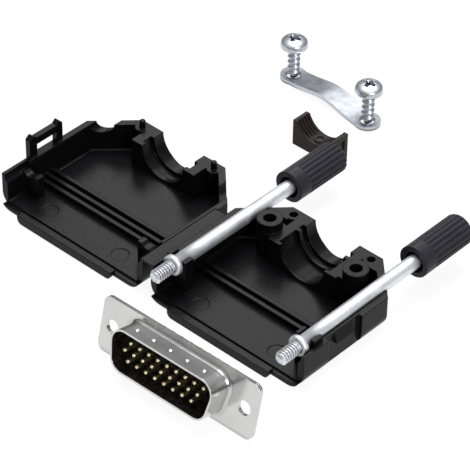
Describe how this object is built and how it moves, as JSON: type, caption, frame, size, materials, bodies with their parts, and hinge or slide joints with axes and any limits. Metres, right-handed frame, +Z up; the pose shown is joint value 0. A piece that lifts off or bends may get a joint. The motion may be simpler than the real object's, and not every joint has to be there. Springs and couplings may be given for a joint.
{
  "type": "d-sub connector kit",
  "caption": "Black hinged plastic backshell with knobbed jackscrews, a D-shaped male solder connector, a bent clamp strap with screws and a saddle-shaped cable insert.",
  "frame": {"origin": "centre of the hood base's underside, on the surface the kit lies on", "axes": "+Z up, +Y towards the cable exit and the knobs, +X towards the latch side of the base; the open lid lies on the -X side"},
  "size_m": [0.0848, 0.0989, 0.0128],
  "materials": {
    "hood_plastic": "satin moulded",
    "knob_plastic": "satin moulded",
    "zinc_plated_steel": "bright zinc plated",
    "tinned_shell": "bright tin plated",
    "insulator_plastic": "moulded",
    "gold_contact": "gold flashed"
  },
  "bodies": {
    "base": {"hood_base": "hood_plastic", "cable_clamp_strap": "zinc_plated_steel", "clamp_screw_left": "zinc_plated_steel", "clamp_screw_right": "zinc_plated_steel", "cable_insert": "hood_plastic", "connector_front_shell": "tinned_shell", "connector_rear_shell": "tinned_shell", "front_insulator": "insulator_plastic", "rear_insulator": "insulator_plastic", "contact_01": "gold_contact", "contact_02": "gold_contact", "contact_03": "gold_contact", "contact_04": "gold_contact", "contact_05": "gold_contact", "contact_06": "gold_contact", "contact_07": "gold_contact", "contact_08": "gold_contact", "contact_09": "gold_contact", "contact_10": "gold_contact", "contact_11": "gold_contact", "contact_12": "gold_contact", "contact_13": "gold_contact", "contact_14": "gold_contact", "contact_15": "gold_contact", "contact_16": "gold_contact", "contact_17": "gold_contact", "contact_18": "gold_contact", "contact_19": "gold_contact", "contact_20": "gold_contact", "contact_21": "gold_contact", "contact_22": "gold_contact", "contact_23": "gold_contact", "contact_24": "gold_contact", "contact_25": "gold_contact", "contact_26": "gold_contact"},
    "lid": {"hood_lid": "hood_plastic", "film_hinge": "hood_plastic"},
    "jackscrew_left": {"jackscrew_left_rod": "zinc_plated_steel", "jackscrew_left_knob": "knob_plastic"},
    "jackscrew_right": {"jackscrew_right_rod": "zinc_plated_steel", "jackscrew_right_knob": "knob_plastic"}
  },
  "joints": [
    {"name": "lid_hinge", "type": "hinge", "parent": "base", "child": "lid", "pos_m": [-0.02095, -0.0055, 0.0077], "axis": [0, 1, 0], "range_deg": [0, 180]},
    {"name": "jackscrew_left_spin", "type": "hinge", "parent": "base", "child": "jackscrew_left", "pos_m": [-0.01665, 0, 0.0077], "axis": [0, -1, 0], "continuous": true},
    {"name": "jackscrew_right_spin", "type": "hinge", "parent": "base", "child": "jackscrew_right", "pos_m": [0.01665, 0, 0.0077], "axis": [0, -1, 0], "continuous": true}
  ]
}
